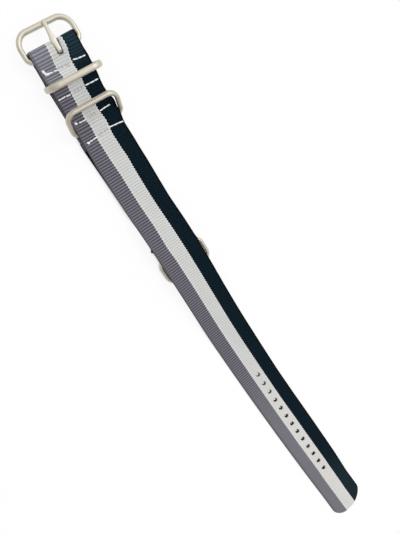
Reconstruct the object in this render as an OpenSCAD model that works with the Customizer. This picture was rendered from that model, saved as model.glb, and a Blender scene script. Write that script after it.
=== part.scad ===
// Striped woven watch strap with a sewn-in buckle and three ring keepers.
// It lies face up. X runs from the buckle (-X) to the tip (+X), Y across the width.
// Z = 0 is the surface that the strap lies on. X = 0 is the middle of the watch seat.
// "Station" is the distance from the fold edge at the buckle, measured along X.

/* [Webbing] */
// Width of both bands
strap_w = 20; // [18:0.5:24]
// Thickness of the webbing
web_t = 1.2; // [1:0.05:1.4]
// Length of the main band, from the fold edge to the tip
strap_len = 279.2; // [265:0.2:300]
// Radius of the rounded tip
tip_r = 10.5; // [10.2:0.1:14]
// Air between two bands that lie on each other
layer_gap = 0.3; // [0.2:0.05:0.6]
// How far the free tail drifts sideways as it lies, at the tip
tail_bow = 11.2; // [0:0.1:12]

/* [Sewn section] */
// Station of the buckle's bar
buckle_at = 3.4; // [2.8:0.1:4]
// Station of the front keeper ring's bar
front_at = 13.9; // [13.5:0.1:15.5]
// Station of the rear keeper ring's bar
rear_at = 33.4; // [32:0.1:35]
// Distance from the front ring's bar to the stitch row on each side
front_row_off = 4.8; // [4.2:0.1:5.4]
// Distance from the rear ring's bar to the stitch row on each side
rear_row_off = 4.2; // [4.2:0.1:5.2]
// Band left past the last stitch row
seam_margin = 2.6; // [1.8:0.1:4]
// Half length of the swelling over a sewn-in bar
swell = 3.4; // [2.8:0.1:3.8]
// Slit between the layers of the main band, where they aren't sewn
slit = 0.12; // [0.08:0.02:0.2]
// Height of the sewn flap end above the table
sewn_lift = 0.3; // [0.25:0.05:0.6]
// How much higher the sewn section lies at the fold than at its last row
sewn_rise = 2.4; // [0:0.1:3]

/* [Under flap] */
// Station of the flap ring's bar
flap_ring_at = 97.2; // [92:0.2:104]
// Length of the flap's end that folds back over the ring's bar
fold_back = 7.5; // [6:0.1:10]
// Distance from the flap ring's bar to the stitches that close its loop
loop_row_off = 5.4; // [4.8:0.1:5.6]
// Gap at the flap's flex line
flex_gap = 0.1; // [0.05:0.05:0.3]
// Sideways offset of the flap at its flex line
flap_shift = -1.4; // [-1.4:0.1:0]
// Turn of the flap in plan, in degrees
flap_skew = 2.8; // [0:0.1:3]

/* [Rings] */
// Outer height of a keeper ring
ring_h = 12.5; // [11:0.1:14]
// Thickness of the ring wire, in the ring's plane
wire_t = 1.8; // [1.5:0.05:2]
// Width of the ring wire, across the ring's plane
wire_w = 2.5; // [2:0.05:2.8]
// Outer corner radius on the free side of a ring
free_corner = 4.9; // [4.4:0.1:5.6]
// Outer corner radius on the sewn-in side of a ring
held_corner = 3.2; // [3:0.05:3.4]
// Air between a ring's side and the band's edge
ring_play = 0.2; // [0.15:0.05:0.5]
// Air between a bar and the loop round it, in radius
pin_play = 0.05; // [0.02:0.01:0.08]
// Lean of the front keeper ring, from upright toward the tip
front_lean = 13; // [0:1:30]
// Lean of the rear keeper ring, from upright toward the tip
rear_lean = -42; // [-60:1:-20]

/* [Buckle] */
// Outer height of the buckle frame
buckle_h = 12.2; // [12:0.1:14]
// Outer radius of the frame's free corners
buckle_corner = 6.2; // [5.6:0.1:6.8]
// Thickness of the frame's wire, in its plane
frame_t = 2.1; // [1.8:0.05:2.3]
// Air between the frame's side and the band's edge
buckle_play = 0.2; // [0.2:0.05:0.8]
// Droop of the frame, from level
buckle_droop = 0; // [-2:0.5:4]
// Sideways offset of the tongue, of its slot and of its notch
tongue_y = 1.4; // [-2:0.1:2]
// Width of the tongue at its curl
tongue_w = 2.8; // [2.2:0.1:3]
// Width of the tongue's shank
shank_w = 1.8; // [1.4:0.1:2]
// Thickness of the tongue
tongue_t = 0.75; // [0.6:0.05:0.9]
// Length of the tongue's wide part, from the bar
tongue_root = 3.6; // [3:0.1:4.5]
// How far the tongue's tip stops short of the frame's outer edge
tongue_short = 0.3; // [0.1:0.1:1]
// Air beside the tongue in its slot and its notch
tongue_play = 0.3; // [0.2:0.05:0.5]
// Air between the tongue's curl and the far end of its slot
slot_end_play = 0.5; // [0.4:0.05:1]
// Air under the tongue's tip in the notch
notch_play = 0.08; // [0.05:0.01:0.15]

/* [Adjusting holes] */
// Number of holes
hole_n = 13; // [5:1:14]
// Diameter of a hole
hole_d = 1.9; // [1.5:0.1:2.4]
// Pitch of the holes
hole_pitch = 6; // [5:0.1:6.5]
// Station of the first hole
first_hole_at = 173.2; // [160:0.2:175]

/* [Stitching] */
// Diameter of the sewing thread
thread_d = 0.5; // [0.3:0.05:0.5]
// Length of a stitch
stitch_len = 2; // [1.2:0.1:3]
// Gap between two stitches
stitch_gap = 0.5; // [0.3:0.1:1]
// Bare edge beside a stitch row
stitch_margin = 1.3; // [0.8:0.1:2.5]

/* [Hidden] */
$fn = 48;
eps = 0.01;
grey = [0.44, 0.42, 0.47];
dark_grey = [0.36, 0.34, 0.39];
nickel = [0.84, 0.81, 0.75];
thread_white = [0.95, 0.95, 0.95];

// Bars and the loops round them
bar_r = wire_t / 2;
bore_r = bar_r + pin_play;
loop_r = bore_r + web_t;

// Stations
front_rows = [front_at - front_row_off, front_at + front_row_off];
rear_rows = [rear_at - rear_row_off, rear_at + rear_row_off];
row_at = concat(front_rows, rear_rows);
row_half = 0.8;
sewn_end = row_at[3] + seam_margin;
sewn_start = rear_at + swell;
flex_at = sewn_end + flex_gap;
flap_loop_at = flap_ring_at - fold_back;
loop_row_at = flap_ring_at - loop_row_off;
seat_mid = 66;
function X(s) = s - seat_mid;

// Heights: the flap's sewn end, the folded layer, then the top layer above the seam
stub_z = sewn_lift;
folded_z = stub_z + web_t;
seam_z = folded_z + web_t;
// Underside of the main band over the flap and over the flap's loop
seat_z = web_t + layer_gap;
hump_z = 2 * loop_r + layer_gap;

// The sewn section is laid out level and then turned up about its last edge
sewn_slope = atan(sewn_rise / sewn_end);
hinge_x = X(sewn_end);
function turned_up(p) = let (dx = p[0] - hinge_x, dz = p[1] - stub_z) [
    hinge_x + dx * cos(sewn_slope) + dz * sin(sewn_slope),
    stub_z + dz * cos(sewn_slope) - dx * sin(sewn_slope)];
module turn_up() {
    translate([hinge_x, 0, stub_z])
        rotate([0, sewn_slope, 0])
            translate([-hinge_x, 0, -stub_z])
                children();
}

// Where the main band's underside changes height
seat_from = sewn_end + 9;
hump_from = flap_loop_at - 24;
hump_at = flap_loop_at - 0.5;
hump_to = flap_ring_at + loop_r + 0.5;
land_at = hump_to + 52;

function clamp01(t) = max(0, min(1, t));
function ease(s, a, b) = let (t = clamp01((s - a) / (b - a))) t * t * (3 - 2 * t);
function swelling(d, w) = abs(d) >= w ? 0 : pow(cos(90 * d / w), 2);

// Underside of the main band's top layer
function under(s) = seam_z
    + (seat_z - seam_z) * ease(s, sewn_end, seat_from)
    + (hump_z - seat_z) * ease(s, hump_from, hump_at)
    - hump_z * ease(s, hump_to, land_at);

// How far a layer swells over the sewn-in bars
function bulge(s) = bore_r * max(
    s < buckle_at ? 1 : swelling(s - buckle_at, swell),
    swelling(s - front_at, swell),
    swelling(s - rear_at, swell));

// Half height of the pocket between the layers, a little inside the bores
pocket_ease = 0.9;
pocket_swell = 0.85 * swell;
function pocket(s) = slit / 2 + (pocket_ease * bore_r - slit / 2) * max(
    swelling(s - buckle_at, pocket_swell),
    swelling(s - front_at, pocket_swell),
    swelling(s - rear_at, pocket_swell));

// Sideways drift of the centre line, and its slope in degrees
bow_from = sewn_end;
function bow_t(s) = max(0, (s - bow_from) / (strap_len - bow_from));
function drift(s) = tail_bow * pow(bow_t(s), 2);
function heading(s) = atan(2 * tail_bow * bow_t(s) / (strap_len - bow_from));

// A profile in X and Z, drawn out across the width
module across(points, width) {
    rotate([90, 0, 0])
        linear_extrude(height = width, center = true)
            polygon(points);
}

// Plan outline of the bands, drawn up in Z past the tallest piece
plan_h = 3 * max(ring_h, buckle_h);
plan_steps = 28;
module plan(to) {
    stations = [for (i = [0:plan_steps]) bow_from + (to - bow_from) * i / plan_steps];
    edge = strap_w / 2;
    right = [for (s = stations) [X(s) - edge * sin(heading(s)), drift(s) + edge * cos(heading(s))]];
    left = [for (s = stations) [X(s) + edge * sin(heading(s)), drift(s) - edge * cos(heading(s))]];
    back = [for (i = [plan_steps:-1:0]) left[i]];
    start = -strap_w;
    translate([0, 0, -plan_h / 2])
        linear_extrude(height = plan_h)
            polygon(concat([[X(start), -edge], [X(start), edge]], right, back));
}

// A bore for a bar across the band, with mouths that clear the ring's corners
mouth_len = 2.6;
mouth_flare = 0.8;
mouth_over = 0.5;
module bar_bore(s, z) {
    depth = mouth_len + mouth_over;
    flare = mouth_flare * depth / mouth_len;
    translate([X(s), 0, z])
        rotate([90, 0, 0]) {
            cylinder(h = strap_w + 2 * mouth_over, r = bore_r, center = true);
            for (side = [0, 1])
                mirror([0, 0, side])
                    translate([0, 0, strap_w / 2 - mouth_len])
                        cylinder(h = depth, r1 = bore_r, r2 = bore_r + flare);
        }
}

// Pocket between the sewn layers, from one station to another
pocket_steps = 24;
module sewn_pocket(from, to) {
    stations = [for (i = [0:pocket_steps]) from + (to - from) * i / pocket_steps];
    upper = [for (s = stations) [X(s), seam_z + pocket(s)]];
    lower = [for (i = [pocket_steps:-1:0]) [X(stations[i]), seam_z - pocket(stations[i])]];
    across(concat(upper, lower), strap_w + 1);
}

// Space inside the buckle's fold, in front of its bar
module fold_pocket() {
    r = pocket_ease * bore_r;
    arc = [for (a = [90:15:270]) [X(loop_r) + r * cos(a), seam_z + r * sin(a)]];
    across(concat(arc, [[X(buckle_at), seam_z - r], [X(buckle_at), seam_z + r]]), strap_w + 1);
}

// Slot through the fold, for the tongue
slot_w = tongue_w + 2 * tongue_play;
curl_r = bore_r + tongue_t;
slot_corner = 0.5;
slot_end = buckle_at + curl_r + slot_end_play;
module tongue_slot() {
    square_end = slot_end - slot_corner;
    translate([X(square_end), tongue_y, seam_z]) {
        translate([-slot_end, 0, 0])
            cube([2 * slot_end, slot_w, plan_h], center = true);
        cube([2 * slot_corner, slot_w - 2 * slot_corner, plan_h], center = true);
        for (side = [-1, 1])
            translate([0, side * (slot_w / 2 - slot_corner), 0])
                cylinder(h = plan_h, r = slot_corner, center = true, $fn = 24);
    }
}

// Main band: fold, folded layer and top layer in one outline, past the tip until that is rounded
tip_over = 2;
module main_outline() {
    fold_arc = [for (a = [270:-10:90]) [X(loop_r) + loop_r * cos(a), seam_z + loop_r * sin(a)]];
    sewn_step = 0.4;
    sewn = [for (s = [loop_r + sewn_step:sewn_step:sewn_end - sewn_step]) s];
    n = len(sewn);
    lower = [for (i = [n - 1:-1:0]) [X(sewn[i]), folded_z - bulge(sewn[i])]];
    upper = [for (s = sewn) [X(s), seam_z + web_t + bulge(s)]];
    body_step = 3;
    lying = concat([for (s = [sewn_end + body_step:body_step:land_at]) s], [land_at]);
    m = len(lying);
    top = [for (s = lying) [X(s), under(s) + web_t]];
    bottom = [for (i = [m - 1:-1:0]) [X(lying[i]), under(lying[i])]];
    tip = [[X(strap_len + tip_over), web_t], [X(strap_len + tip_over), 0]];
    last = [[X(sewn_end), seam_z + web_t]];
    first = [[X(sewn_end), seam_z], [X(sewn_end), folded_z]];
    sewn_points = [for (p = concat(first, lower, fold_arc, upper, last)) turned_up(p)];
    across(concat(sewn_points, top, tip, bottom), across_all);
}

module tip_round() {
    centre = strap_len - tip_r;
    translate([X(centre), drift(centre), 0]) {
        cylinder(h = plan_h, r = tip_r, center = true);
        translate([-strap_len, 0, 0])
            cube([2 * strap_len, 3 * strap_w, plan_h], center = true);
    }
}

module main_strap() {
    color(grey)
        difference() {
            intersection() {
                main_outline();
                plan(strap_len + tip_over);
                tip_round();
            }
            turn_up() {
                fold_pocket();
                sewn_pocket(buckle_at, row_at[0] - row_half);
                sewn_pocket(row_at[0] + row_half, row_at[1] - row_half);
                sewn_pocket(row_at[1] + row_half, row_at[2] - row_half);
                sewn_pocket(row_at[2] + row_half, row_at[3] - row_half);
                sewn_pocket(row_at[3] + row_half, sewn_end + eps);
                bar_bore(buckle_at, seam_z);
                bar_bore(front_at, seam_z);
                bar_bore(rear_at, seam_z);
                tongue_slot();
            }
            for (i = [0:hole_n - 1]) {
                s = first_hole_at + i * hole_pitch;
                translate([X(s), drift(s), 0])
                    cylinder(h = plan_h, d = hole_d, center = true, $fn = 24);
            }
        }
}

// Under flap: its web, and the end that folds back over the ring's bar.
// It is laid out along X and then turned in plan about the middle of its flex line.
flap_ease_len = 6;
flap_over = 1;
module flap_place() {
    translate([X(flex_at), flap_shift, 0])
        rotate([0, 0, flap_skew])
            translate([-X(flex_at), 0, 0])
                children();
}

function flap_bottom(s) = stub_z * (1 - ease(s, flex_at, flex_at + flap_ease_len));
loop_swell = fold_back - 2;
function loop_top(s) = 2 * web_t + 2 * bore_r * swelling(s - flap_ring_at, loop_swell);
loop_z = web_t + bore_r;
loop_step = 0.4;
loop_pocket_end = loop_row_at + row_half;
loop_slit_end = loop_row_at - row_half;
across_all = strap_w + 2 * tail_bow + 4;

module flap_outline() {
    web = concat([flex_at - flap_over], [for (s = [flex_at:1:flex_at + flap_ease_len]) s]);
    n = len(web);
    fold = concat([for (s = [flap_loop_at:loop_step:flap_ring_at - loop_step]) s], [flap_ring_at]);
    top = [for (s = web) [X(s), flap_bottom(s) + web_t]];
    bottom = [for (i = [n - 1:-1:0]) [X(web[i]), flap_bottom(web[i])]];
    folded = [for (s = fold) [X(s), loop_top(s)]];
    turn = [for (a = [80:-10:-90]) [X(flap_ring_at) + loop_r * cos(a), loop_z + loop_r * sin(a)]];
    across(concat(top, [[X(flap_loop_at), web_t]], folded, turn, bottom), strap_w);
}

// Space in the flap's loop, beside its bore
module flap_pocket() {
    fold = concat([for (s = [loop_pocket_end:loop_step:flap_ring_at - loop_step]) s], [flap_ring_at]);
    upper = [for (s = fold) [X(s), web_t + slit + 2 * (bore_r - slit)
        * swelling(s - flap_ring_at, 0.85 * loop_swell)]];
    lower = [[X(flap_ring_at), web_t + slit / 2], [X(loop_pocket_end), web_t + slit / 2]];
    across(concat(lower, upper), strap_w + 1);
}

// Slit under the last of the folded-back end
module flap_slit() {
    from = X(flap_loop_at - 1);
    to = X(loop_slit_end);
    across([[from, web_t], [to, web_t], [to, web_t + slit], [from, web_t + slit]], strap_w + 1);
}

module under_flap() {
    color(dark_grey)
        difference() {
            intersection() {
                flap_place()
                    flap_outline();
                translate([X(flex_at), -across_all / 2, -plan_h / 2])
                    cube([strap_len, across_all, plan_h]);
            }
            flap_place() {
                flap_pocket();
                flap_slit();
                bar_bore(flap_ring_at, loop_z);
            }
        }
}

module flap_sewn_end() {
    color(dark_grey)
        turn_up()
            translate([X(sewn_start), flap_shift - strap_w / 2, stub_z])
                cube([sewn_end - sewn_start, strap_w, web_t]);
}

// Cross-section of the ring wire: flat sides and round edges
module wire_section(t) {
    flat = wire_w - t;
    square([t, flat], center = true);
    for (side = [-1, 1])
        translate([0, side * flat / 2])
            circle(d = t, $fn = 32);
}

// A quarter bend about an axis along X, from -Z round to +Y
module wire_bend(r, t) {
    rotate([0, 90, 0])
        rotate_extrude(angle = 90, $fn = 64)
            translate([r, 0])
                wire_section(t);
}

// A straight run of the wire along Z, flat sides across X
module wire_run(length, t, center = false) {
    linear_extrude(height = length, center = center)
        rotate(90)
            wire_section(t);
}

// A ring that stands on its bar: the bar lies along Y through the origin
module wire_ring(width, height, corner, t) {
    half = width / 2 - t / 2;
    free_r = corner - t / 2;
    held_r = held_corner - t / 2;
    reach = height - bar_r - t / 2;
    rotate([90, 0, 0])
        cylinder(h = 2 * (half - held_r), r = bar_r, center = true);
    for (side = [0, 1])
        mirror([0, side, 0]) {
            translate([0, half - held_r, held_r])
                wire_bend(held_r, t);
            translate([0, half, held_r])
                wire_run(reach - free_r - held_r, t);
            translate([0, half - free_r, reach - free_r])
                mirror([0, 0, 1])
                    wire_bend(free_r, t);
        }
    translate([0, 0, reach])
        rotate([90, 0, 0])
            wire_run(2 * (half - free_r), t, center = true);
}

// Puts a ring or the tongue on its bar, leaning from upright toward the tip
module on_bar(s, z, lean, y = 0) {
    translate([X(s), y, z])
        rotate([0, lean, 0])
            children();
}

ring_w = strap_w + 2 * ring_play + 2 * wire_t;
module keeper_ring(s, z, lean) {
    color(nickel)
        on_bar(s, z, lean)
            wire_ring(ring_w, ring_h, free_corner, wire_t);
}

module keeper_ring_front() { turn_up() keeper_ring(front_at, seam_z, front_lean - sewn_slope); }
module keeper_ring_rear() { turn_up() keeper_ring(rear_at, seam_z, rear_lean - sewn_slope); }

// The flap ring droops until its free side lies on the table
table_play = 0.02;
flap_ring_droop = asin((loop_z - wire_w / 2 - table_play) / (ring_h - wire_t));
module flap_ring() { flap_place() keeper_ring(flap_ring_at, loop_z, 90 + flap_ring_droop); }

// Buckle frame: the ring form, with a notch for the tongue's tip
buckle_w = strap_w + 2 * buckle_play + 2 * frame_t;
buckle_reach = buckle_h - bar_r - frame_t / 2;
buckle_lean = -90 - buckle_droop - sewn_slope;
notch_w = shank_w + 2 * tongue_play;
notch_floor = bore_r - notch_play;
module buckle_frame() {
    color(nickel)
        turn_up()
            on_bar(buckle_at, seam_z, buckle_lean)
                difference() {
                    wire_ring(buckle_w, buckle_h, buckle_corner, frame_t);
                    translate([notch_floor, tongue_y - notch_w / 2, buckle_reach - frame_t])
                        cube([wire_w, notch_w, 2 * frame_t]);
                }
}

// Tongue: a curl round the bar, a wide root and a slim shank that arches a little
tongue_len = buckle_reach + frame_t / 2 - tongue_short;
tongue_arch = 0.3;
tongue_steps = 20;
function tongue_rise(z) = tongue_arch * sin(180 * clamp01(z / tongue_len));
function tongue_half(z) = shank_w / 2
    + (tongue_w - shank_w) / 2 * (1 - ease(z, tongue_root - 0.8, tongue_root + 1.4));
module buckle_tongue() {
    steps = [for (i = [0:tongue_steps]) tongue_len * i / tongue_steps];
    inner = [for (z = steps) [bore_r + tongue_rise(z), z]];
    outer = [for (i = [tongue_steps:-1:0]) [curl_r + tongue_rise(steps[i]), steps[i]]];
    shoulder = tongue_len - shank_w / 2;
    side_z = [for (i = [0:tongue_steps]) shoulder * i / tongue_steps];
    left = [for (z = side_z) [-tongue_half(z), z]];
    right = [for (i = [tongue_steps:-1:0]) [tongue_half(side_z[i]), side_z[i]]];
    nose = [for (a = [165:-15:15]) [shank_w / 2 * cos(a), shoulder + shank_w / 2 * sin(a)]];
    color(nickel)
        turn_up()
            on_bar(buckle_at, seam_z, buckle_lean, tongue_y)
                difference() {
                    union() {
                        rotate([90, 0, 0])
                            cylinder(h = tongue_w, r = curl_r, center = true);
                        intersection() {
                            rotate([90, 0, 0])
                                linear_extrude(height = tongue_w, center = true)
                                    polygon(concat(inner, outer));
                            rotate([90, 0, 90])
                                linear_extrude(height = plan_h)
                                    polygon(concat(left, nose, right));
                        }
                    }
                    rotate([90, 0, 0])
                        cylinder(h = tongue_w + 1, r = bore_r, center = true);
                }
}

// One stitch: a half round of thread that lies along Y on a surface facing +Z
module stitch() {
    intersection() {
        rotate([90, 0, 0])
            cylinder(h = stitch_len, d = thread_d, center = true, $fn = 16);
        translate([-thread_d, -stitch_len, 0])
            cube([2 * thread_d, 2 * stitch_len, thread_d]);
    }
}

module stitch_line(s, z, down = false) {
    pitch = stitch_len + stitch_gap;
    count = floor((strap_w - 2 * stitch_margin + stitch_gap) / pitch);
    first = -(count - 1) * pitch / 2;
    for (i = [0:count - 1])
        translate([X(s), first + i * pitch, z])
            mirror([0, 0, down ? 1 : 0])
                stitch();
}

// A row through all layers: stitches on top and underneath
module stitch_row(n) {
    color(thread_white)
        turn_up() {
            stitch_line(row_at[n], seam_z + web_t);
            stitch_line(row_at[n], n == 3 ? stub_z : folded_z, down = true);
        }
}

module stitch_row_1() { stitch_row(0); }
module stitch_row_2() { stitch_row(1); }
module stitch_row_3() { stitch_row(2); }
module stitch_row_4() { stitch_row(3); }

module flap_loop_stitches() {
    color(thread_white)
        flap_place()
            stitch_line(loop_row_at, 2 * web_t);
}

main_strap();
under_flap();
flap_sewn_end();
buckle_frame();
buckle_tongue();
keeper_ring_front();
keeper_ring_rear();
flap_ring();
stitch_row_1();
stitch_row_2();
stitch_row_3();
stitch_row_4();
flap_loop_stitches();
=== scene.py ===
import math
from collections import namedtuple

import bpy
import numpy as np
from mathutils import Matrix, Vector


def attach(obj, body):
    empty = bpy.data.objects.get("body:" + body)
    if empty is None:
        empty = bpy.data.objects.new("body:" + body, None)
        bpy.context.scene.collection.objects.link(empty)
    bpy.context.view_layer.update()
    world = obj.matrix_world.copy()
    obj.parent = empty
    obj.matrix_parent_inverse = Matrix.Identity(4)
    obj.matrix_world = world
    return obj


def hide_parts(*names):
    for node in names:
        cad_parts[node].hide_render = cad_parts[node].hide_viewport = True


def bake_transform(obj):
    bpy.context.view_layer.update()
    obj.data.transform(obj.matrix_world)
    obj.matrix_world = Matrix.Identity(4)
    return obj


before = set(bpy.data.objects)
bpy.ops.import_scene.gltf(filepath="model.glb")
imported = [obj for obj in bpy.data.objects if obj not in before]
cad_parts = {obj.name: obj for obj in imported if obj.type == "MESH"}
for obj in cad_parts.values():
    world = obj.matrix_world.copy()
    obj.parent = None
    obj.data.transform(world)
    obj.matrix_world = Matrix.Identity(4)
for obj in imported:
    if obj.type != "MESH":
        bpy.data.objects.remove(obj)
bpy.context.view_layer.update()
scene = bpy.context.scene
rng = np.random.default_rng(7)
MM = 0.001

# A fabric watch strap in three woven stripes, as it lies on a table. Its main band is folded round the
# buckle's bar and sewn down by four rows, two keeper rings stand in its tunnels, and a short flap below it
# ends in a third ring.
# Lengths are in millimetres, up to the meshes. A station s is a distance along the strap from its bend at the
# buckle, u is the arc length along a band, v is the place across it, and y is that place as the band lies.

# Sizes as in the solids
SEAT = 66.0                                         # station of the watch seat, where the origin is
HALF_W, WEB_T = 10.0, 1.2                           # half the width of a band, and its thickness
STRAP_LEN, TIP_R = 279.2, 10.5
TAIL_BOW = 11.2                                     # how far the tail bends to the side
BUCKLE_AT, FRONT_AT, REAR_AT = 3.4, 13.9, 33.4      # stations of the three bars
ROWS = (9.1, 18.7, 29.2, 37.6)                      # stations of the rows of stitches
BORE_R = 0.95
LOOP_R = BORE_R + WEB_T
SWELL = 3.4                                         # half the length of the swelling over a bar
FOLD_OUT = 0.5                                      # how far the fold's bend reaches past its bore's own
SEWN_END, SEWN_RISE = 40.2, 2.4                     # the sewn section's end, and its rise toward the buckle
SLOPE = math.atan(SEWN_RISE / SEWN_END)
STUB_Z = 0.3                                        # undersides: the flap's sewn end,
FOLDED_Z = STUB_Z + WEB_T                           # the folded-back layer,
SEAM_Z = FOLDED_Z + WEB_T                           # the upper layer,
SEAT_Z, HUMP_Z = 1.5, 4.6                           # the upper layer at the watch seat and over the flap ring
FLEX_AT, FLAP_RING_AT, FOLD_BACK = 40.3, 97.2, 7.5
FLAP_SHIFT, FLAP_SKEW = -0.75, 2.4
FLAP_LOOP_AT = FLAP_RING_AT - FOLD_BACK
LOOP_ROW_AT = FLAP_RING_AT - 5.4
LOOP_Z = WEB_T + BORE_R
HUMP_TO = FLAP_RING_AT + LOOP_R + 0.5
LAND_AT = HUMP_TO + 52
HOLES = [173.2 + 6.0 * i for i in range(13)]
HOLE_R = 0.95
TONGUE_Y, TONGUE_LEN, TONGUE_T = 1.4, 11.0, 0.75

# Sizes of the weave, the cut edges and the thread
BAND_END = STRAP_LEN + 0.55
TIP_LEAN, TIP_PIVOT = 0.1, 5.0                      # the tip's arc is cut askew
SLOT_V, SLOT_HALF, SLOT_END = 0.33, 1.07, 5.4       # the tongue's slot: its middle, half width and end
SLOT_WIDER, SLOT_CORNER = 0.3, 0.5
FOLD_TURN, FOLD_REACH = 0.022, 9                    # the fold is turned a little in its plane
LOWER_ASIDE, ASIDE_OVER, LOWER_SKEW = 0.5, 16.0, 0.004   # how the folded-back layer lies beside the upper one
LOWER_BARE = 44                                     # the arc length of the layers that lie on each other
RIB = 1.19                                          # one weft rib along the band
YARN = 0.42                                         # one warp yarn across it
GREY_TO, NAVY_FROM = -3.35, 3.3                     # the borders of the light stripe
RIB_EDGE = 0.6                                      # the ribs flatten this close to an edge
EDGE_ROUND = 0.5
RIM_SHADE = 0.16                                    # width of the dark rim of a hole
PLY_TURN, PLY_SIDES = 1.3, 12
END_DIP, THREAD_UP, JITTER = 0.26, 0.06, 0.05
FIRST_STITCH, LONG_STITCH, STITCH_PITCH, STITCHES = -8.5, 1.9, 2.5, 7   # the rows on hidden faces
GREY_THREAD_R, NAVY_THREAD_R, HIDDEN_THREAD_R = 0.27, 0.28, 0.22
PATH_STEP, BEND_STEP, NEARBY, TINY = 0.05, 1.5, 0.02, 1e-3

Void = namedtuple("Void", "gap near shade")


def X(s):
    return s - SEAT


def smooth(x):
    x = np.clip(x, 0, 1)
    return x * x * (3 - 2 * x)


def ease(s, a, b):
    return smooth((np.asarray(s, float) - a) / (b - a))


def swelling(d, w):
    d = np.asarray(d, float)
    return np.where(np.abs(d) >= w, 0.0, np.cos(np.pi / 2 * np.clip(d / w, -1, 1)) ** 2)


def under(s):
    """Height of the upper layer's underside past the sewn section: down, over the flap ring, and down."""
    return (SEAM_Z + (SEAT_Z - SEAM_Z) * ease(s, SEWN_END, SEWN_END + 9)
            + (HUMP_Z - SEAT_Z) * ease(s, FLAP_LOOP_AT - 24, FLAP_LOOP_AT - 0.5)
            - HUMP_Z * ease(s, HUMP_TO, LAND_AT))


def bulge(s):
    """How far a layer of the sewn section stands off where the bars are."""
    s = np.asarray(s, float)
    at_buckle = np.where(s < BUCKLE_AT, 1.0, swelling(s - BUCKLE_AT, SWELL))
    at_rings = np.maximum(swelling(s - FRONT_AT, SWELL), swelling(s - REAR_AT, SWELL))
    return BORE_R * np.maximum(at_buckle, at_rings)


def past_sewn(s):
    return np.maximum(0, np.asarray(s, float) - SEWN_END)


def drift(s):
    return TAIL_BOW * (past_sewn(s) / (STRAP_LEN - SEWN_END)) ** 2


def heading(s):
    return np.arctan(2 * TAIL_BOW * past_sewn(s) / (STRAP_LEN - SEWN_END) ** 2)


def turned_up(x, z):
    dx, dz = x - X(SEWN_END), z - STUB_Z
    return (X(SEWN_END) + dx * math.cos(SLOPE) + dz * math.sin(SLOPE),
            STUB_Z + dz * math.cos(SLOPE) - dx * math.sin(SLOPE))


class Path:
    """The mid line of a band: X, Z, station, place across and heading, by arc length from a given point."""

    def __init__(self, x, z, s, y, h, zero):
        self.rows = [np.asarray(a, float) for a in (x, z, s, y, h)]
        x, z, _, y, _ = self.rows
        step = np.sqrt(np.diff(x) ** 2 + np.diff(z) ** 2 + np.diff(y) ** 2)
        u = np.concatenate([[0], np.cumsum(step)])
        self.u = u - u[zero]
        self.s = self.rows[2]

    def at(self, u):
        return [np.interp(u, self.u, row) for row in self.rows]


def main_path():
    """From the end of the folded-back layer, round the buckle's bar, and along the upper layer to the tip."""
    bend_s, r = LOOP_R - FOLD_OUT, LOOP_R - WEB_T / 2
    low_s = np.arange(SEWN_END, bend_s, -PATH_STEP)
    angle = np.radians(np.arange(270, 89.9, -BEND_STEP))
    up_s = np.arange(bend_s + PATH_STEP, SEWN_END - 0.1, PATH_STEP)
    tail_s = np.arange(SEWN_END + 0.4, BAND_END + 0.001, PATH_STEP)
    sewn_s = np.concatenate([low_s, bend_s + r * np.cos(angle), up_s])
    sewn_z = np.concatenate([FOLDED_Z + WEB_T / 2 - bulge(low_s), SEAM_Z + r * np.sin(angle),
                             SEAM_Z + WEB_T / 2 + bulge(up_s)])
    sewn_x, sewn_z = turned_up(X(sewn_s), sewn_z)
    s = np.concatenate([sewn_s, tail_s])
    y = drift(s)
    y[:len(low_s)] -= LOWER_ASIDE * smooth(low_s / ASIDE_OVER) + LOWER_SKEW * low_s
    return Path(np.concatenate([sewn_x, X(tail_s)]), np.concatenate([sewn_z, under(tail_s) + WEB_T / 2]),
                s, y, heading(s), len(low_s) + len(angle) // 2)


def flap_path():
    """From the sewn end under the strap, along the table, round the flap ring's bar, and a short way back."""
    r, skew = LOOP_R - WEB_T / 2, math.radians(FLAP_SKEW)
    web_s = np.arange(REAR_AT + SWELL, FLAP_RING_AT, PATH_STEP)
    web_z = STUB_Z * (1 - ease(web_s, FLEX_AT, FLEX_AT + 6)) + WEB_T / 2
    sewn_z = STUB_Z + WEB_T / 2 + math.tan(SLOPE) * (SEWN_END - web_s)
    web_z = np.where(web_s < SEWN_END, sewn_z, web_z)
    angle = np.radians(np.arange(-90, 90.1, BEND_STEP))
    back_s = np.arange(FLAP_RING_AT - PATH_STEP, FLAP_LOOP_AT - 0.01, -PATH_STEP)
    back_z = 1.5 * WEB_T + 2 * BORE_R * swelling(back_s - FLAP_RING_AT, FOLD_BACK - 2)
    s = np.concatenate([web_s, FLAP_RING_AT + r * np.cos(angle), back_s])
    z = np.concatenate([web_z, LOOP_Z + r * np.sin(angle), back_z])
    free = s - FLEX_AT
    along = np.where(free > 0, free * math.cos(skew), free)
    y = FLAP_SHIFT + np.where(free > 0, free * math.sin(skew), 0)
    return Path(X(FLEX_AT) + along, z, s, y, skew * smooth((free + 1) / 2), 0)


def straight(u, s, v):
    return 0.0, 0.0


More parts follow.
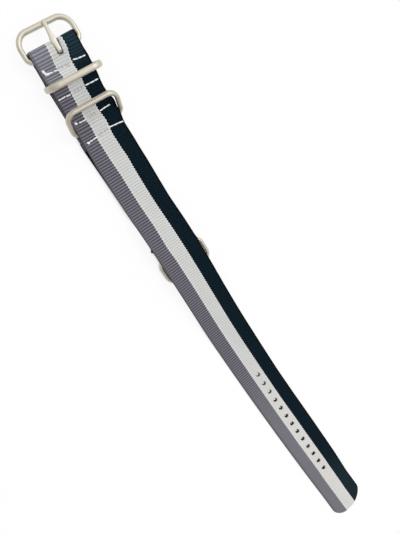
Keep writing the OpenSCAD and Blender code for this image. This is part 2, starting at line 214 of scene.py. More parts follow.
def place(path, u, v, lay=straight):
    """The point on a band's mid layer, the normal there, and the place across that it has as it lies.
    lay(u, s, v) is how far the lying band strays sideways and along."""
    x, z, s, yc, h = path.at(u)
    x2, z2, _, y2, _ = path.at(u + NEARBY)
    x1, z1, _, y1, _ = path.at(u - NEARBY)
    aside, ahead = lay(u, s, v)
    y = v + aside
    point = np.stack([x - y * np.sin(h) + ahead, yc + y * np.cos(h), z], -1)
    along = np.stack([x2 - x1, y2 - y1, z2 - z1], -1)
    across = np.stack([-np.sin(h), np.cos(h), np.zeros_like(h)], -1)
    normal = np.cross(along, across)
    return point, normal / np.linalg.norm(normal, axis=-1, keepdims=True), y


def cut_grid(path, rows, cols, edge_of, voids):
    """A band's grid in (u, v), with the points round each void moved onto its rim, and which cells stay."""
    U = np.repeat(rows[:, None], len(cols), 1)
    V = edge_of(path.at(U)[2], np.repeat(cols[None, :], len(rows), 0))[1]
    cell_u = (U[:-1, :-1] + U[1:, 1:]) / 2
    cell_v = (V[:-1, :-1] + V[1:, 1:]) / 2
    keep = np.ones(cell_u.shape, bool)
    for void in voids:
        keep &= ~((void.gap(cell_u, cell_v) < 0) & void.near(cell_u, cell_v))
    used, dropped = np.zeros(U.shape, bool), np.zeros(U.shape, bool)
    for i in (0, 1):
        for j in (0, 1):
            corner = np.s_[i:len(rows) - 1 + i, j:len(cols) - 1 + j]
            used[corner] |= keep
            dropped[corner] |= ~keep
    for void in voids:
        rim = used & dropped & void.near(U, V)
        for _ in range(4):
            gap = void.gap(U, V)
            per_u = (void.gap(U + TINY, V) - gap) / TINY
            per_v = (void.gap(U, V + TINY) - gap) / TINY
            U = np.where(rim, U - gap * per_u, U)
            V = np.where(rim, V - gap * per_v, V)
    return U, V, keep


def layer_faces(keep):
    """Quads of the outer layer, of the inner one, and of the walls between them along every open side."""
    n, m = keep.shape[0] + 1, keep.shape[1] + 1
    inner = n * m
    index = np.arange(inner).reshape(n, m)
    a, b, c, d = index[:-1, :-1], index[1:, :-1], index[1:, 1:], index[:-1, 1:]
    quads = [np.stack([i[keep] for i in (a, b, c, d)], 1)]
    quads.append(np.stack([i[keep] for i in (a, d, c, b)], 1) + inner)
    there = np.pad(keep, 1)
    for beside, i, j in ((there[1:-1, :-2], a, b), (there[1:-1, 2:], c, d),
                         (there[:-2, 1:-1], d, a), (there[2:, 1:-1], b, c)):
        p, q = i[keep & ~beside], j[keep & ~beside]
        quads.append(np.stack([q, p, p + inner, q + inner], 1))
    return np.concatenate(quads)


def link(name, data):
    obj = bpy.data.objects.new(name, data)
    scene.collection.objects.link(obj)
    return obj


def woven_piece(name, co, faces, uv, shade):
    """A piece of quads, with its place on the band as UV and its shade as an attribute; unused points go."""
    live = np.zeros(len(co), bool)
    live[faces.ravel()] = True
    faces = (np.cumsum(live) - 1)[faces]
    mesh = bpy.data.meshes.new(name)
    mesh.vertices.add(int(live.sum()))
    mesh.vertices.foreach_set("co", (co[live] * MM).astype(np.float32).ravel())
    mesh.loops.add(faces.size)
    mesh.loops.foreach_set("vertex_index", faces.astype(np.int32).ravel())
    mesh.polygons.add(len(faces))
    mesh.polygons.foreach_set("loop_start", (np.arange(len(faces)) * 4).astype(np.int32))
    mesh.polygons.foreach_set("use_smooth", np.ones(len(faces), bool))
    layer = mesh.uv_layers.new(name="weave")
    layer.data.foreach_set("uv", uv[live][faces.ravel()].astype(np.float32).ravel())
    attribute = mesh.attributes.new("shade", "FLOAT", "POINT")
    attribute.data.foreach_set("value", shade[live].astype(np.float32))
    mesh.update(calc_edges=True)
    mesh.validate()
    return link(name, mesh)


def band_mesh(name, path, rows, cols, edge_of, lay, voids, pinch, dark, relief_out, relief_in):
    """A closed woven band: a grid on both faces, rounded selvedges, and walls round each void.
    edge_of(s, v) gives the distance to the outline and the place across that a column has there. A void has
    its signed distance in (u, v), where that counts, and how dark its rim is. pinch(u, v) is where a point of
    the lower face goes, dark(u, y) is how deep in shade a point is, and the reliefs are what stands out on
    the two faces."""
    U, V, keep = cut_grid(path, rows, cols, edge_of, voids)
    P, N, Y = place(path, U, V, lay)
    low_P, low_N, _ = place(path, *pinch(U, V), lay)
    dist = edge_of(path.at(U)[2], V)[0]
    shade = dark(U, Y)
    for void in voids:
        gap, near = void.gap(U, V), void.near(U, V)
        dist = np.where(near, np.minimum(dist, np.maximum(gap, 0) + 0.05), dist)
        shade = np.maximum(shade, np.where(near, void.shade * (1 - smooth(gap / RIM_SHADE)), 0))
    inward = np.clip(dist / EDGE_ROUND, 0, 1)
    half = WEB_T / 2 * np.sqrt(np.clip(1 - (1 - inward) ** 2, 0.03, 1))
    outer = P + N * (half + relief_out(U, V, Y, dist))[..., None]
    inner = low_P - low_N * (half + relief_in(U, V, Y, dist))[..., None]
    co = np.concatenate([outer.reshape(-1, 3), inner.reshape(-1, 3)])
    uv = np.stack([U.ravel(), V.ravel()], 1) / 100
    return woven_piece(name, co, layer_faces(keep), np.tile(uv, (2, 1)), np.tile(shade.ravel(), 2))


def hole_void(centre, phase):
    """A punched hole on the middle line, a little out of round."""
    def gap(u, v):
        a = np.arctan2(v, u - centre)
        uneven = 1 + 0.04 * np.sin(3 * a + phase) + 0.03 * np.sin(5 * a + 2 * phase)
        return np.hypot(u - centre, v) - HOLE_R * uneven
    return Void(gap, lambda u, v: np.hypot(u - centre, v) < HOLE_R + 0.6, 1.0)


def slot_void(reach):
    """The tongue's slot round the fold: snug, a little wider where the tongue's shoulders pass."""
    def gap(u, v):
        half = SLOT_HALF + SLOT_WIDER * smooth((2.8 - np.abs(u)) / 1.2)
        qu, qv = np.abs(u) - reach + SLOT_CORNER, np.abs(v - SLOT_V) - half + SLOT_CORNER
        outside = np.hypot(np.maximum(qu, 0), np.maximum(qv, 0))
        return outside + np.minimum(np.maximum(qu, qv), 0) - SLOT_CORNER
    return Void(gap, lambda u, v: (np.abs(u) < reach + 0.6) & (np.abs(v - SLOT_V) < SLOT_HALF + 0.9), 0.5)


main = main_path()
flap = flap_path()


def u_of(s):
    """Arc length on the main band's upper layer at a station."""
    upper = main.u > 0
    return float(np.interp(s, main.s[upper], main.u[upper]))


# The ribs are worn from the first of these to the second
FADE_U = (u_of(150), u_of(215))


def rib_height(u, v):
    """How far the weft ribs stand out: bold on the grey stripe, fine on the other two, low in the selvedges,
    and worn toward the tip."""
    bold, fine, selvedge, wear = 0.10, 0.018, 0.35, 0.8
    height = bold - (bold - fine) * smooth((v + 3.6) / 0.6)
    height = height * (selvedge + (1 - selvedge) * smooth((9.0 - np.abs(v)) / 0.4))
    height = height * (1 - wear * smooth((u - FADE_U[0]) / 60))
    return height * (np.abs(np.cos(np.pi * u / RIB)) ** 0.8 - 0.6)


def main_edge(s, v):
    """The tip is an arc that is cut a little askew, so its grey side is the longer one."""
    ds = np.asarray(s, float) - (STRAP_LEN - TIP_R)
    q = ds - TIP_LEAN * TIP_PIVOT
    k = 1 + TIP_LEAN ** 2
    reach = np.sqrt(np.maximum(TIP_R ** 2 * k - q ** 2, 0.02))
    left = np.where(ds > 0, np.maximum((-TIP_LEAN * q - reach) / k, -HALF_W), -HALF_W)
    right = np.where(ds > 0, np.minimum((-TIP_LEAN * q + reach) / k, HALF_W), HALF_W)
    across = left + (right - left) * (np.asarray(v, float) + HALF_W) / (2 * HALF_W)
    side = HALF_W - np.abs(across)
    tip = np.where(ds > 0, TIP_R - np.hypot(ds + TIP_LEAN * (across - TIP_PIVOT), across), 99)
    return np.maximum(np.minimum(side, tip), 0), across


def flap_edge(s, v):
    return np.maximum(HALF_W - np.abs(v), 0), v


# How far the lying band strays sideways, by station: its two edges and the two borders between its stripes
STRAY = (
    (-HALF_W,
     (0, 6, 9, 12, 15, 18, 21, 25, 29, 33, 37, 41, 48, 60, 90, 262, 275, 280),
     (-.1, -.05, 0, .15, .2, .2, .25, .05, .2, .1, .1, -.1, -.2, -.1, .1, 0, -.25, -.45)),
    (GREY_TO,
     (0, 1, 3, 5, 7, 9, 12, 15, 18, 21, 25, 29, 33, 37, 41, 46, 50, 56, 65, 80, 92, 98, 114, 170, 226, 245,
      250, 266, 280),
     (.95, .9, .7, .5, .25, .12, .35, .35, 0, -.2, -.3, -.6, -.35, -.5, -.5, -.3, -.1, .15, .1, .2, -.25, .15,
      .3, .2, 0, 0, -.25, -.35, -.55)),
    (NAVY_FROM,
     (0, 1, 3, 5, 7, 9, 12, 15, 18, 20, 25, 29, 33, 36, 40, 43, 46, 50, 56, 80, 98, 146, 194, 210, 242, 250,
      258, 266, 280),
     (1.0, 1.2, 1.2, .9, .3, 0, -.1, 0, -.4, -.7, -.65, -.65, -.25, -.3, -.7, -.5, -.3, .1, -.15, -.2, 0,
      -.15, -.2, 0, 0, -.2, -.25, -.5, -.55)),
    (HALF_W,
     (0, 4, 10, 12, 15, 17, 19.6, 22, 25, 26.5, 28, 29.5, 31, 33.4, 38, 42, 46, 56, 68, 74, 86, 92, 98, 106,
      122, 150, 178, 194, 206, 218, 234, 242, 250, 258, 280),
     (.15, .15, .45, .2, .12, .1, -.3, -.5, -.3, .2, .6, .55, .2, .12, -.35, -.2, .1, .33, .3, .1, .25, .35,
      .4, .35, .2, .3, .05, .2, .37, .47, .4, .3, 0, -.4, -.35)))


def main_lay(u, s, v):
    """The straying, which the folded-back layer hasn't, and the slight turn of the fold in its plane."""
    off = [np.interp(s, stations, offsets) for _, stations, offsets in STRAY]
    aside = np.zeros_like(v)
    for i in range(len(STRAY) - 1):
        at, to = STRAY[i][0], STRAY[i + 1][0]
        part = np.clip((v - at) / (to - at), 0, 1)
        aside = np.where(v >= at, off[i] + (off[i + 1] - off[i]) * part, aside)
    return aside * ease(u, -14, -8), -FOLD_TURN * v * smooth(1 - np.abs(u) / FOLD_REACH)


def flap_lay(u, s, v):
    """A corner of the flap's loop sticks out on the grey side."""
    corner = -0.95 * np.exp(-((s - FLAP_LOOP_AT - 0.6) / 0.6) ** 2) * smooth(-v / 9)
    return corner, np.zeros_like(v)


# Where the thread dives into the light stripe, as (station, place across)
PITS = ((9.1, -2.5), (9.37, -1.2), (9.45, 0.45), (9.9, 1.3), (18.95, -1.7), (18.9, -0.3), (18.9, 1.2),
        (29.75, -1.9), (29.55, -0.8), (29.4, 0.55), (37.4, -2.3), (37.05, -1.2), (37.0, 0.45), (36.8, 1.6))


def pits(u, y):
    deep = np.zeros_like(u)
    for s, across in PITS:
        deep += np.exp(-((u - u_of(s)) / 0.45) ** 2 - ((y - across) / 0.24) ** 2)
    return np.minimum(deep, 1)


def stitch_dimples(u, y):
    """How far the thread pulls the upper face in: a shallow groove along each row, and its pits."""
    pull = 0.25 * pits(u, y)
    for row in ROWS:
        pull += 0.15 * np.exp(-((u - u_of(row)) / 0.75) ** 2) * smooth((9.3 - np.abs(y)) / 0.8)
    return pull


def hole_pinch(u, v):
    """The punched holes narrow downward, most where the band lies flat on the table."""
    u2, v2 = u.copy(), v.copy()
    for i, s in enumerate(HOLES):
        narrow = 0.15 + 0.4 * smooth((i - 1.5) / 3)
        shrink = 1 - narrow * smooth(1 - (np.hypot(u - u_of(s), v) - HOLE_R) / 0.8)
        u2 += (u - u_of(s)) * (shrink - 1)
        v2 += v * (shrink - 1)
    return u2, v2


def upper_relief(u, v, y, dist):
    return rib_height(u, v) * smooth(dist / RIB_EDGE) - stitch_dimples(u, y) * (u > 0)


def lower_relief(u, v, y, dist):
    """The main band's other face has its ribs only past the sewn section, where no layer lies on it."""
    return rib_height(u, v) * smooth(dist / RIB_EDGE) * (np.abs(u) > LOWER_BARE)


def flap_relief(u, v, y, dist):
    return 0.5 * rib_height(u, -v) * smooth(dist / RIB_EDGE)


# Four rows to each rib, with one on its crest, and closer ones at the tip; columns close together at the
# holes, the borders and the edges
du = RIB / 4
main_rows = np.arange(math.ceil(main.u[0] / du + 0.3) * du, main.u[-1] - 0.3, du)
main_rows = np.concatenate([[main.u[0]], main_rows, main.u[-1] - np.array([0.22, 0.12, 0.06, 0.02])])
flap_rows = np.arange(flap.u[0], flap.u[-1], du)
side_cols = np.array([10, 9.92, 9.75, 9.45, 9.1, 8.85, 7.7, 6.4, 5.2, 4.2, 3.6, 3.32, 3.05, 2.65, 2.25])
cols = np.concatenate([-side_cols, np.linspace(-1.95, 1.95, 14), side_cols[::-1]])
voids = [hole_void(u_of(s), 1.7 * i) for i, s in enumerate(HOLES)] + [slot_void(u_of(SLOT_END))]
# The pits where the thread dives in are painted dark, as shade
strap = band_mesh("woven_main_band", main, main_rows, cols, main_edge, main_lay, voids, hole_pinch,
                  lambda u, y: 0.55 * pits(u, y), upper_relief, lower_relief)
under_flap = band_mesh("woven_under_flap", flap, flap_rows, cols, flap_edge, flap_lay, [],
                       lambda u, v: (u, v), lambda u, y: np.zeros_like(u), flap_relief, flap_relief)


def srgb(*tone):
    """A colour from its 0 to 255 values."""
    out = [x / 255 / 12.92 if x / 255 <= 0.04045 else ((x / 255 + 0.055) / 1.055) ** 2.4 for x in tone]
    return (*out, 1.0)


class Graph:
    """Short names for the node calls that the materials share."""

    def __init__(self, name):
        self.mat = bpy.data.materials.new(name)
        self.mat.use_nodes = True
        self.tree = self.mat.node_tree
        self.bsdf = self.tree.nodes["Principled BSDF"]

    def node(self, kind, **props):
        n = self.tree.nodes.new(kind)
        for k, v in props.items():
            setattr(n, k, v)
        return n

    def put(self, socket, value):
        if isinstance(value, bpy.types.NodeSocket):
            self.tree.links.new(value, socket)
        else:
            socket.default_value = value

    def shader(self, values):
        for name, value in values.items():
            self.put(self.bsdf.inputs[name], value)

    def math(self, op, *values):
        n = self.node("ShaderNodeMath", operation=op)
        for socket, value in zip(n.inputs, values):
            self.put(socket, value)
        return n.outputs[0]

    def step(self, x, low, high):
        """From 0 at low to 1 at high, smoothly."""
        n = self.node("ShaderNodeMapRange", interpolation_type="SMOOTHSTEP")
        for socket, value in zip(n.inputs, (x, low, high)):
            self.put(socket, value)
        return n.outputs[0]

    def mix(self, factor, a, b, kind="MIX"):
        n = self.node("ShaderNodeMix", data_type="RGBA", blend_type=kind)
        for i, value in ((0, factor), (6, a), (7, b)):
            self.put(n.inputs[i], value)
        return n.outputs[2]

    def noise(self, vector, scale, detail, rough=0.5):
        n = self.node("ShaderNodeTexNoise")
        for name, value in (("Vector", vector), ("Scale", scale), ("Detail", detail), ("Roughness", rough)):
            self.put(n.inputs[name], value)
        return n.outputs[0]

    def bump(self, height, strength, distance):
        n = self.node("ShaderNodeBump")
        for name, value in (("Height", height), ("Strength", strength), ("Distance", distance)):
            self.put(n.inputs[name], value)
        self.put(self.bsdf.inputs["Normal"], n.outputs[0])


def grey_tones(g, ridge, from_middle, painted_fold_light, painted_slope_light, worn):
    """Painted shade in the rib hollows and painted highlight on the crests; paler pairs as painted light on
    the fold and on the slope up to the first ring's bar, and where the band is worn; a flatter selvedge.
    """
    # painted shade in the rib hollows and painted highlight on the crests
    tone = g.mix(ridge, srgb(68, 66, 76), srgb(125, 122, 132))
    # a painted highlight on the fold
    tone = g.mix(painted_fold_light, tone, g.mix(ridge, srgb(104, 105, 115), srgb(149, 151, 159)))
    # painted light on the slope up to the first ring's bar
    tone = g.mix(painted_slope_light, tone, g.mix(ridge, srgb(88, 88, 96), srgb(144, 144, 151)))
    tone = g.mix(worn, tone, g.mix(ridge, srgb(110, 109, 115), srgb(123, 122, 128)))
    selvedge, outermost = g.step(from_middle, 8.75, 8.95), g.step(from_middle, 9.55, 9.85)
    tone = g.mix(g.math("MULTIPLY", selvedge, 0.6), tone, srgb(100, 99, 103))
    return g.mix(g.math("MULTIPLY", outermost, 0.75), tone, srgb(65, 63, 69))


def white_tones(g, ridge, from_middle, worn):
    """A light stripe with faint ribs, painted as shade in their hollows, and brighter borders."""
    tone = g.mix(ridge, srgb(190, 192, 189), srgb(213, 214, 212))
    tone = g.mix(worn, tone, srgb(213, 211, 208))
    border = g.step(from_middle, 2.75, 3.1)
    return g.mix(g.math("MULTIPLY", border, 0.6), tone, srgb(230, 231, 229))


def navy_tones(g, ridge, v, uneven, painted_fold_light, at_tip):
    """Nearly black with fine flecks and painted rib shade, paler with a painted highlight on the fold and
    paler at the tip, and darkest at its two edges.
    """
    fleck = g.math("MULTIPLY", g.step(uneven, 0.36, 0.64), 0.7)
    # painted shade in the rib hollows and painted highlight on the crests, with flecks
    tone = g.mix(g.math("MULTIPLY_ADD", ridge, 0.3, fleck), srgb(5, 18, 26), srgb(16, 32, 41))
    # a painted highlight on the fold
    tone = g.mix(painted_fold_light, tone, g.mix(ridge, srgb(22, 38, 48), srgb(38, 55, 65)))
    tone = g.mix(at_tip, tone, g.mix(ridge, srgb(22, 36, 43), srgb(28, 43, 50)))
    tone = g.mix(g.math("MULTIPLY", g.step(v, 4.1, 3.6), 0.7), tone, srgb(4, 10, 14))
    return g.mix(g.step(v, 9.0, 9.5), tone, srgb(4, 7, 10))


def webbing(name, flipped=False):
    """The woven stripes: warp yarns along the band, and weft ribs across it, with painted shade in the
    hollows between.
    """
    g = Graph(name)
    uv = g.node("ShaderNodeUVMap", uv_map="weave").outputs[0]
    split = g.node("ShaderNodeSeparateXYZ")
    g.put(split.inputs[0], uv)
    u = g.math("MULTIPLY", split.outputs[0], 100.0)
    v = g.math("MULTIPLY", split.outputs[1], -100.0 if flipped else 100.0)
    from_bend, from_middle = g.math("ABSOLUTE", u), g.math("ABSOLUTE", v)
    slow = g.noise(uv, 14.0, 3.0)
    fine = g.noise(uv, 260.0, 2.0)
    uneven = g.noise(uv, 120.0, 3.0, 0.65)
    speck = g.noise(uv, 900.0, 1.0)

    rib = g.math("COSINE", g.math("MULTIPLY", u, 2 * math.pi / RIB))
    ridge = g.math("MULTIPLY_ADD", rib, 0.5, 0.5)
    warp_v = g.math("ADD", v, g.math("MULTIPLY", rib, 0.05))
    warp = g.math("SINE", g.math("MULTIPLY", warp_v, 2 * math.pi / YARN))
    warp = g.math("MULTIPLY_ADD", warp, 0.5, 0.5)

    # a painted highlight on the fold at the bend, painted light on the slope where the band climbs over the
    # first ring's bar, and paler toward the tip
    worn, at_tip = g.step(u, *FADE_U), g.step(u, u_of(232), u_of(262))
    painted_fold_light = g.step(from_bend, 15.0, 5.0)
    painted_slope_light = g.math("MULTIPLY", g.step(u, u_of(9.5), u_of(10.4)), g.step(u, u_of(14.6), u_of(13.6)))

    # the borders step in and out with the ribs
    wobble = g.math("MULTIPLY", g.math("SUBTRACT", fine, 0.5), 0.5)
    v_jag = g.math("ADD", v, g.math("MULTIPLY_ADD", rib, 0.17, wobble))
    past_grey = g.step(v_jag, GREY_TO - 0.1, GREY_TO + 0.1)
    past_white = g.step(v_jag, NAVY_FROM - 0.1, NAVY_FROM + 0.1)
    colour = g.mix(past_grey, grey_tones(g, ridge, from_middle, painted_fold_light, painted_slope_light, worn),
                   white_tones(g, ridge, from_middle, worn))
    colour = g.mix(past_white, colour, navy_tones(g, ridge, v, uneven, painted_fold_light, at_tip))
    # Painted shade in the slot and the stitch pits; at the punched holes the dark is partly their melted rim
    # and partly painted shade
    cut = g.node("ShaderNodeAttribute", attribute_name="shade").outputs["Fac"]
    colour = g.mix(cut, colour, srgb(34, 34, 35))

    shade = g.math("MULTIPLY_ADD", warp, 0.10, 0.93)
    mottle = g.math("MULTIPLY_ADD", slow, 0.5, 0.75)
    # the last factor makes the slope up to the first ring's bar a tenth brighter: painted light
    for pattern, amount, least in ((mottle, 0.2, 0.8), (speck, 0.6, 0.71), (uneven, 0.28, 0.86),
                                   (painted_slope_light, 0.1, 1.0)):
        shade = g.math("MULTIPLY", shade, g.math("MULTIPLY_ADD", pattern, amount, least))
    dim = g.node("ShaderNodeCombineColor")
    for socket in dim.inputs:
        g.put(socket, shade)
    colour = g.mix(1.0, colour, dim.outputs[0], "MULTIPLY")

    height = g.math("ADD", g.math("MULTIPLY", ridge, 0.6), g.math("MULTIPLY", warp, 0.35))
    g.bump(g.math("ADD", height, g.math("MULTIPLY", fine, 0.4)), 0.7, 0.00012)
    g.shader({"Base Color": colour, "Roughness": g.math("MULTIPLY_ADD", ridge, -0.12, 0.92),
              "Sheen Weight": 0.01, "Sheen Roughness": 0.5, "Specular IOR Level": 0.05})
    return g.mat


def nickel(name, tint):
    """Satin nickel, faintly clouded and with a fine grain."""
    g = Graph(name)
    co = g.node("ShaderNodeTexCoord").outputs["Object"]
    cloud = g.noise(co, 350.0, 3.0)
    low, high = (tuple(c * k for c, k in zip(srgb(*tone), (*tint, 1.0)))
                 for tone in ((188, 183, 169), (204, 199, 186)))
    g.bump(g.noise(co, 9000.0, 2.0), 0.25, 0.00003)
    g.shader({"Base Color": g.mix(cloud, low, high), "Metallic": 0.9,
              "Roughness": g.math("MULTIPLY_ADD", cloud, 0.12, 0.41)})
    return g.mat


def thread(name):
    g = Graph(name)
    fuzz = g.noise(g.node("ShaderNodeTexCoord").outputs["Object"], 3000.0, 2.0)
    g.bump(fuzz, 0.4, 0.00005)
    g.shader({"Base Color": g.mix(fuzz, srgb(240, 242, 242), srgb(253, 254, 255)),
              "Roughness": g.math("MULTIPLY_ADD", fuzz, 0.2, 0.6), "Sheen Weight": 0.2})
    return g.mat


def dress(obj, mat):
    obj.data.materials.clear()
    obj.data.materials.append(mat)


thread_mat = thread("sewing_thread")
dress(strap, webbing("striped_webbing"))
dress(under_flap, webbing("striped_webbing_face_down", flipped=True))
nickel_mat = nickel("satin_nickel", (1.10, 1.10, 1.09))
ring_mat = nickel("satin_nickel_rings", (1.04, 1.02, 1.0))
for name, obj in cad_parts.items():
    dress(obj, ring_mat if name in ("keeper_ring_front", "keeper_ring_rear", "flap_ring") else nickel_mat)

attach(strap, "strap")
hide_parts("main_strap")
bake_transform(under_flap)
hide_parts("under_flap", "flap_sewn_end")


def ring_faces(count, sides, turned=False):
    """Quads between rings of points, and a face on each end; turned is for rings that run the other way."""
    last = (count - 1) * sides
    quads = [(i + j, i + (j + 1) % sides, i + sides + (j + 1) % sides, i + sides + j)
             for i in range(0, last, sides) for j in range(sides)]
    ends = [tuple(range(sides)), tuple(reversed(range(last, last + sides)))]
    if turned:
        quads, ends = [f[:1] + f[:0:-1] for f in quads], [f[::-1] for f in ends]
    return quads + ends


def smooth_piece(name, points, faces):
    mesh = bpy.data.meshes.new(name)
    mesh.from_pydata((points * MM).tolist(), [], faces)
    mesh.polygons.foreach_set("use_smooth", np.ones(len(mesh.polygons), bool))
    mesh.update()
    return link(name, mesh)


def thread_points(line, radius):
    """Rings of points of a two-ply twisted thread along a line, with rounded ends."""
    tangent = np.gradient(line, axis=0)
    tangent /= np.linalg.norm(tangent, axis=1, keepdims=True)
    length = np.concatenate([[0], np.cumsum(np.linalg.norm(np.diff(line, axis=0), axis=1))])
    to_end = np.minimum(length, length[-1] - length)
    r = radius * np.sqrt(np.clip(1 - (1 - np.clip(to_end / radius, 0, 1)) ** 2, 0.02, 1))
    side = np.cross(tangent, (0, 0, 1.0))
    side /= np.linalg.norm(side, axis=1, keepdims=True)
    top = np.cross(side, tangent)
    a = np.arange(PLY_SIDES) * 2 * np.pi / PLY_SIDES
    ply = 0.96 + 0.08 * np.cos(2 * (a[None, :] - 2 * np.pi * length[:, None] / PLY_TURN))
    out = np.cos(a)[None, :, None] * side[:, None] + np.sin(a)[None, :, None] * top[:, None]
    return (line[:, None] + (r[:, None] * ply)[..., None] * out).reshape(-1, 3)


def thread_piece(name, path, runs):
    """Stitches on a band. Each run has its (u, v) points, the thread's radius, the face (1 outer, -1 inner),
    and the height over the band's mid layer."""
    points, faces, n = [], [], 0
    for run, radius, side, height in runs:
        run = np.asarray(run, float)
        t = np.linspace(0, len(run) - 1, 19 if len(run) == 2 else 11 * len(run))
        u, v = (np.interp(t, np.arange(len(run)), run[:, i]) for i in (0, 1))
        share = t / t[-1]
        dip = END_DIP * (1 - np.clip(np.minimum(share, 1 - share) * 5, 0, 1)) ** 2
        middle, normal, _ = place(path, u, v)
        rings = thread_points(middle + normal * (side * (height + THREAD_UP - dip))[:, None], radius)
        points.append(rings)
        faces += [tuple(i + n for i in f) for f in ring_faces(len(t), PLY_SIDES)]
        n += len(rings)
    obj = smooth_piece(name, np.concatenate(points), faces)
    dress(obj, thread_mat)
    return obj


def even_row(u, side):
    """A row of equal stitches on a face that is out of sight."""
    starts = [FIRST_STITCH + STITCH_PITCH * i for i in range(STITCHES)]
    return [([(u, v), (u + rng.normal(0, JITTER), v + LONG_STITCH)], HIDDEN_THREAD_R, side, WEB_T / 2 - 0.02)
            for v in starts]


# The stitches of the four rows, the navy side's first, and the knots that three of them have on the grey side
DASHES = (
    (((8.85, 4.0), (9.25, 5.85)), ((9.27, 6.15), (9.45, 7.7)), ((9.4, 8.0), (9.5, 9.1)),
     ((9.3, -7.2), (9.38, -5.3)), ((9.42, -4.9), (9.6, -3.4))),
    (((18.9, 3.1), (18.96, 4.9)), ((18.98, 5.15), (19.02, 7.0)), ((18.95, 7.2), (18.97, 8.8)),
     ((19.05, -9.1), (19.08, -8.0)), ((19.08, -7.8), (19.15, -6.1)), ((19.14, -5.8), (19.28, -3.9))),
    (((29.55, 2.9), (29.45, 4.3)), ((29.42, 4.45), (29.3, 6.1)), ((29.28, 6.2), (29.25, 7.8)),
     ((29.75, -6.8), (29.85, -5.6)), ((29.78, -5.4), (29.9, -3.9))),
    (((36.55, 2.6), (36.8, 4.7)), ((36.8, 4.8), (36.95, 6.9)), ((36.95, 7.0), (37.2, 9.2)),
     ((37.85, -7.2), (37.8, -5.7)), ((37.75, -5.5), (37.55, -3.7))))
KNOTS = (
    (((7.5, -8.5), (8.2, -8.35), (8.8, -8.2)), ((8.75, -8.25), (9.15, -8.1), (9.35, -7.6), (9.3, -6.9))),
    (),
    (((29.2, -8.35), (29.4, -8.1), (29.55, -7.85)),),
    (((37.7, -8.15), (37.95, -7.85), (38.1, -7.6)),))
KNOT_R = (0.5, 0.0, 0.58, 0.52)
SUNK_IN = WEB_T / 2 - 0.14
for n, row_s in enumerate(ROWS):
    runs = []
    for dash in DASHES[n]:
        radius = NAVY_THREAD_R if dash[0][1] > 0 else GREY_THREAD_R
        runs.append(([(u_of(s) + rng.normal(0, JITTER), v) for s, v in dash], radius, 1, SUNK_IN))
    for knot in KNOTS[n]:
        runs.append(([(u_of(s), v) for s, v in knot], KNOT_R[n], 1, SUNK_IN + 0.05))
    # the fourth row comes out again below the flap's sewn end, the others on the folded-back layer
    if n < 3:
        runs += even_row(-u_of(row_s), 1)
    obj = thread_piece(f"sewn_row_{n + 1}", main, runs)
    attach(obj, "strap")
    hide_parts(f"stitch_row_{n + 1}")

loop_row_u = flap.u[-1] - (LOOP_ROW_AT - FLAP_LOOP_AT)
loop_row = thread_piece("sewn_flap_loop", flap, even_row(loop_row_u, -1))
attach(loop_row, "flap")
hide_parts("flap_loop_stitches")
row_4_below = thread_piece("sewn_row_4_below", flap, even_row(ROWS[3] - (REAR_AT + SWELL), -1))
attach(row_4_below, "strap")


def tongue_piece(name):
    """The tongue: a slim shank, soft shoulders where it leaves the fold, and a curl round the bar."""
    bar_x, bar_z = turned_up(X(BUCKLE_AT), SEAM_Z)
    curl = BORE_R + TONGUE_T / 2
    run = np.arange(0, TONGUE_LEN, 0.12)
    rise = 0.35 * np.sin(np.pi * run / TONGUE_LEN)
    turn = np.radians(np.arange(90, -205, -6))
    x = np.concatenate([bar_x - TONGUE_LEN + run, bar_x + curl * np.cos(turn)])
    z = np.concatenate([bar_z + curl + rise, bar_z + curl * np.sin(turn)])
    nx = np.concatenate([-np.gradient(rise, run), np.cos(turn)])
    nz = np.concatenate([np.ones_like(run), np.sin(turn)])
    along = np.concatenate([run, TONGUE_LEN + curl * (np.pi / 2 - turn)])
    # its width by the distance from its tip, widest at the shoulders
    width = np.interp(along, (0, 1, 3, 5, 6.2, 7.0, 7.6, 8.2, 9.2, 10.6, 12.4, 20),
                      (1.7, 1.75, 1.55, 1.7, 2.05, 2.5, 2.68, 2.5, 2.15, 1.98, 1.9, 1.9))
    width = np.convolve(np.pad(width, 4, mode="edge"), np.ones(9) / 9, mode="valid")
    mid = TONGUE_Y + np.interp(along, (0, 2, 5, 8, 11, 20), (0.35, 0.2, -0.05, -0.2, 0.0, 0.0))
    nose = np.sqrt(np.clip(1 - (1 - np.clip(along / 0.7, 0, 1)) ** 2, 0.05, 1))
    sides = 20
    a = np.arange(sides) * 2 * np.pi / sides
    wide = np.sign(np.cos(a)) * np.abs(np.cos(a)) ** 0.55 / 2 * (0.45 + 0.55 * nose[:, None])
    thick = np.sign(np.sin(a)) * np.abs(np.sin(a)) ** 0.75 * TONGUE_T / 2 * (0.5 + 0.5 * nose[:, None])
    points = np.stack([x[:, None] + nx[:, None] * thick, mid[:, None] + width[:, None] * wide,
                       z[:, None] + nz[:, None] * thick], -1).reshape(-1, 3)
    return smooth_piece(name, points, ring_faces(len(x), sides, turned=True))


tongue = tongue_piece("smooth_tongue")
dress(tongue, nickel("satin_nickel_tongue", (1.1, 1.1, 1.1)))
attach(tongue, "tongue")
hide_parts("buckle_tongue")

# The camera: its place, its turn in degrees, and its focal length as a share of the picture's height
CAM_AT, CAM_TURN, CAM_FOCAL = (-14.81, -34.17, 190.53), (-8.05, -18.79, 58.81), 435.78 / 533
cam = link("camera", bpy.data.cameras.new("camera"))
cam.location = tuple(a * MM for a in CAM_AT)
cam.rotation_euler = tuple(math.radians(a) for a in CAM_TURN)
cam.data.lens = 36 * CAM_FOCAL
cam.data.clip_start, cam.data.clip_end = 0.001, 20
scene.camera = cam
bpy.context.view_layer.update()
view = cam.matrix_world.to_3x3()
right, up = view @ Vector((1, 0, 0)), view @ Vector((0, 1, 0))

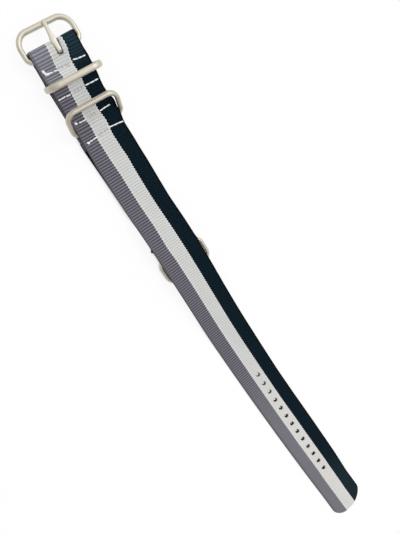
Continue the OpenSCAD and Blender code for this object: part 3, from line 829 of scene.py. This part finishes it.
# The floor is white where it is seen, and keeps the strap's shadow
FLOOR_HALF, FLOOR_Z = 3, -0.00002
mesh = bpy.data.meshes.new("floor")
mesh.from_pydata([(x * FLOOR_HALF, y * FLOOR_HALF, FLOOR_Z) for x, y in ((-1, -1), (1, -1), (1, 1), (-1, 1))],
                 [], [(0, 1, 2, 3)])
floor = link("floor", mesh)
g = Graph("paper_floor")
g.shader({"Base Color": (0.94, 0.94, 0.94, 1), "Roughness": 0.9, "Specular IOR Level": 0.0})
ray = g.node("ShaderNodeLightPath")
seen = g.math("MAXIMUM", ray.outputs["Is Camera Ray"], ray.outputs["Is Glossy Ray"])
seen = g.math("MAXIMUM", seen, ray.outputs["Is Transmission Ray"])
# the glow that the camera sees fades by ambient occlusion near the strap and under its holes: a painted
# contact shadow
corner = g.node("ShaderNodeAmbientOcclusion")
corner.inputs["Distance"].default_value = 0.003
lit = g.step(corner.outputs["AO"], 0.3, 0.75)
paper = g.node("ShaderNodeMixShader")
g.put(paper.inputs[0], g.math("MULTIPLY", g.math("MULTIPLY", seen, lit), 0.88))
g.put(paper.inputs[1], g.bsdf.outputs[0])
g.put(paper.inputs[2], g.node("ShaderNodeEmission").outputs[0])
g.put(g.tree.nodes["Material Output"].inputs[0], paper.outputs[0])
dress(floor, g.mat)

# A large soft lamp, and a pale sky that is brighter from above and white where the camera sees it
LAMP_SIZE, LAMP_WATTS = 0.6, 2.72
SKY_BELOW, SKY_ABOVE = (-0.8, 0.476), (1.0, 1.03)   # (how far up, how bright)
target = Vector((0.01, 0.0, 0.0))
lamp = bpy.data.lights.new("key", "AREA")
lamp.shape, lamp.size, lamp.energy = "DISK", LAMP_SIZE, LAMP_WATTS
key = link("key", lamp)
key.location = target + right * 0.45 + up * 0.35 + Vector((0, 0, 0.75))
key.rotation_euler = (target - key.location).to_track_quat("-Z", "Y").to_euler()
world = bpy.data.worlds.new("studio")
scene.world = world
world.use_nodes = True
sky = world.node_tree
background = sky.nodes["Background"]
background.inputs[0].default_value = (1, 1, 1, 1)
where = sky.nodes.new("ShaderNodeTexCoord")
toward = sky.nodes.new("ShaderNodeVectorMath")
toward.operation = "DOT_PRODUCT"
toward.inputs[1].default_value = (right * 0.25 + up * 0.5 + Vector((0, 0, 0.5))).normalized()
sky.links.new(where.outputs["Generated"], toward.inputs[0])
fade = sky.nodes.new("ShaderNodeMapRange")
for i, value in zip((1, 3, 2, 4), (*SKY_BELOW, *SKY_ABOVE)):
    fade.inputs[i].default_value = value
sky.links.new(toward.outputs["Value"], fade.inputs[0])
ray = sky.nodes.new("ShaderNodeLightPath")
strength = sky.nodes.new("ShaderNodeMix")
strength.inputs[3].default_value = 1.0
sky.links.new(ray.outputs["Is Camera Ray"], strength.inputs[0])
sky.links.new(fade.outputs[0], strength.inputs[2])
sky.links.new(strength.outputs[0], background.inputs[1])
scene.view_settings.view_transform = "Standard"
